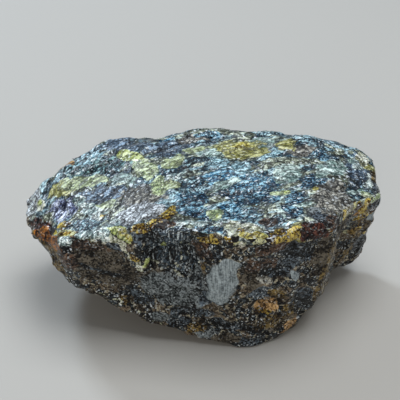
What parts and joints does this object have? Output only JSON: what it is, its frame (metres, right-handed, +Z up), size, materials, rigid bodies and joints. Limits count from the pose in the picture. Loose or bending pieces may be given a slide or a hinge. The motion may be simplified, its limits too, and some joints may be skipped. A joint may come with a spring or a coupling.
{
  "type": "raw amber piece",
  "caption": "Rough lump of natural amber with a broad streaked top, dark crusted sides, a raised nose and a small worn foot to rest on.",
  "frame": {"origin": "middle of the lump's box, at the level of the flat foot that it rests on", "axes": "+X along the length, from the pointed nose to the blunt end; +Y from the front face with the smooth grey patch to the back; +Z up"},
  "size_m": [0.0946, 0.0536, 0.042],
  "materials": {
    "amber": "natural fossil resin, dark brown with blue-grey, olive-yellow and orange streaks, weathered crust over see-through amber"
  },
  "bodies": {
    "root": {"raw_amber": "amber"}
  },
  "joints": []
}
